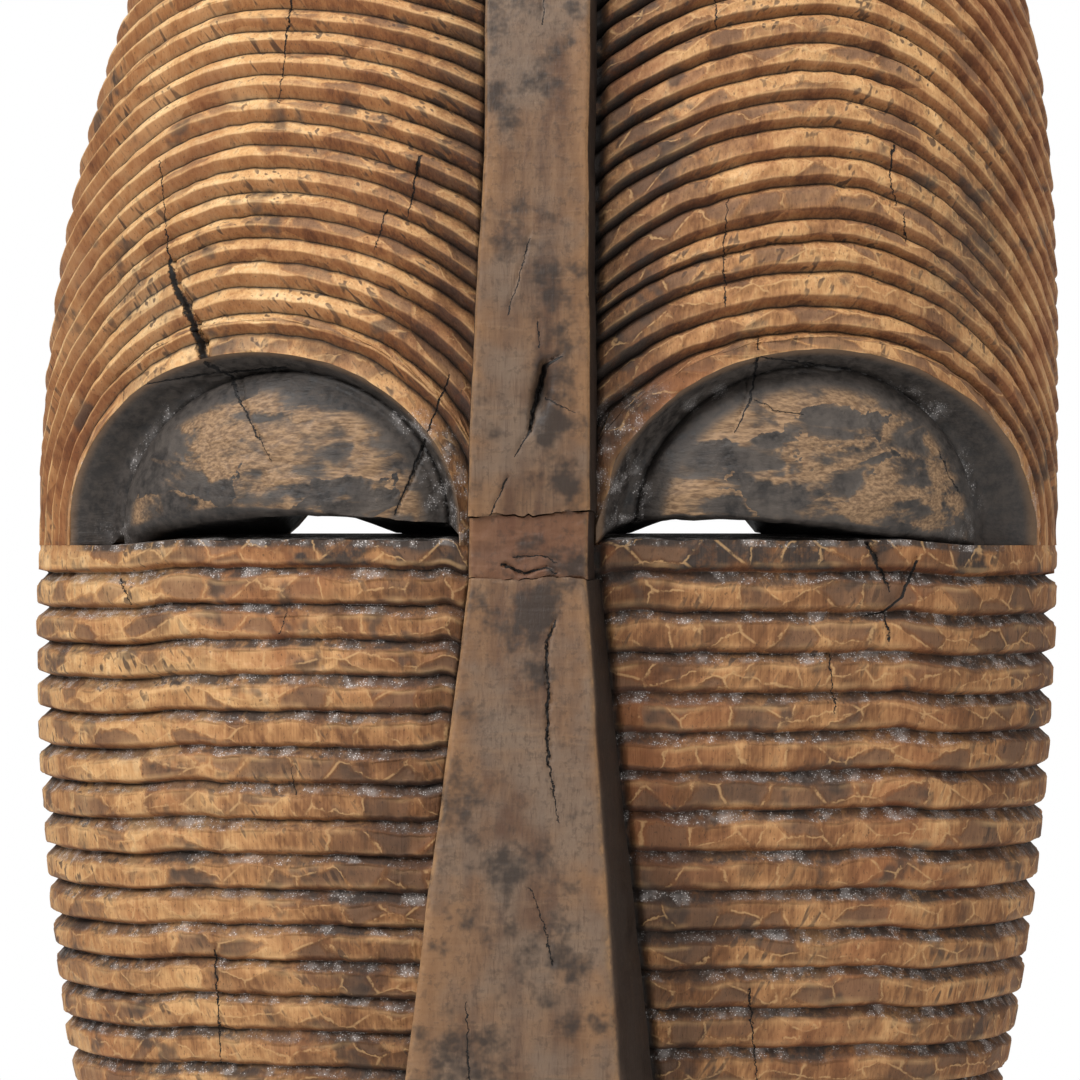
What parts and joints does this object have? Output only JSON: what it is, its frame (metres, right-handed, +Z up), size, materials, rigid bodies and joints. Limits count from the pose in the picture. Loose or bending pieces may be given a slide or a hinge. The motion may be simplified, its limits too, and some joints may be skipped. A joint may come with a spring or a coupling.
{
  "type": "carved wooden wall mask",
  "caption": "Tall hollow face mask carved in wood, with ridged brow and cheeks, slit eyes, a flat crest, a long wedge nose, a box mouth and a ring at the back to hang it by.",
  "frame": {"origin": "point on the wall where the nail carries the hanging ring when it is pulled upright", "axes": "+Z up, the face looks towards -Y, the flat back rim lies in the plane y = 0, +X to the right as seen from the front"},
  "size_m": [0.3, 0.1542, 0.609],
  "materials": {
    "carved_wood": "bare oiled wood, gouge facets, dark soot in the grooves, worn pale edges",
    "blackened_wood": "black pigment worn through to the wood, traces of white clay",
    "dark_wood": "dark grey-brown handled patina, satin, worn pale edges",
    "peg_wood": "whittled hardwood peg, matt",
    "dull_steel": "dull steel with light rust"
  },
  "bodies": {
    "mask": {"forehead_left": "carved_wood", "forehead_right": "carved_wood", "cheek_left": "carved_wood", "cheek_right": "carved_wood", "chin_block": "carved_wood", "eyelid_left": "blackened_wood", "eyelid_right": "blackened_wood", "crest_band": "dark_wood", "bridge_patch": "dark_wood", "nose_block": "dark_wood", "mouth_block": "dark_wood", "crest_peg_upper": "peg_wood", "crest_peg_lower": "peg_wood", "nose_peg_upper": "peg_wood", "nose_peg_lower": "peg_wood", "mouth_peg_left": "peg_wood", "mouth_peg_right": "peg_wood", "hanger_plate": "dull_steel", "hanger_screw_left": "dull_steel", "hanger_screw_right": "dull_steel"},
    "hanger": {"hanger_ring": "dull_steel"}
  },
  "joints": [
    {"name": "ring_swing", "type": "hinge", "parent": "mask", "child": "hanger", "pos_m": [0, -0.0031, -0.0187], "axis": [1, 0, 0], "range_deg": [-15, 150]}
  ]
}
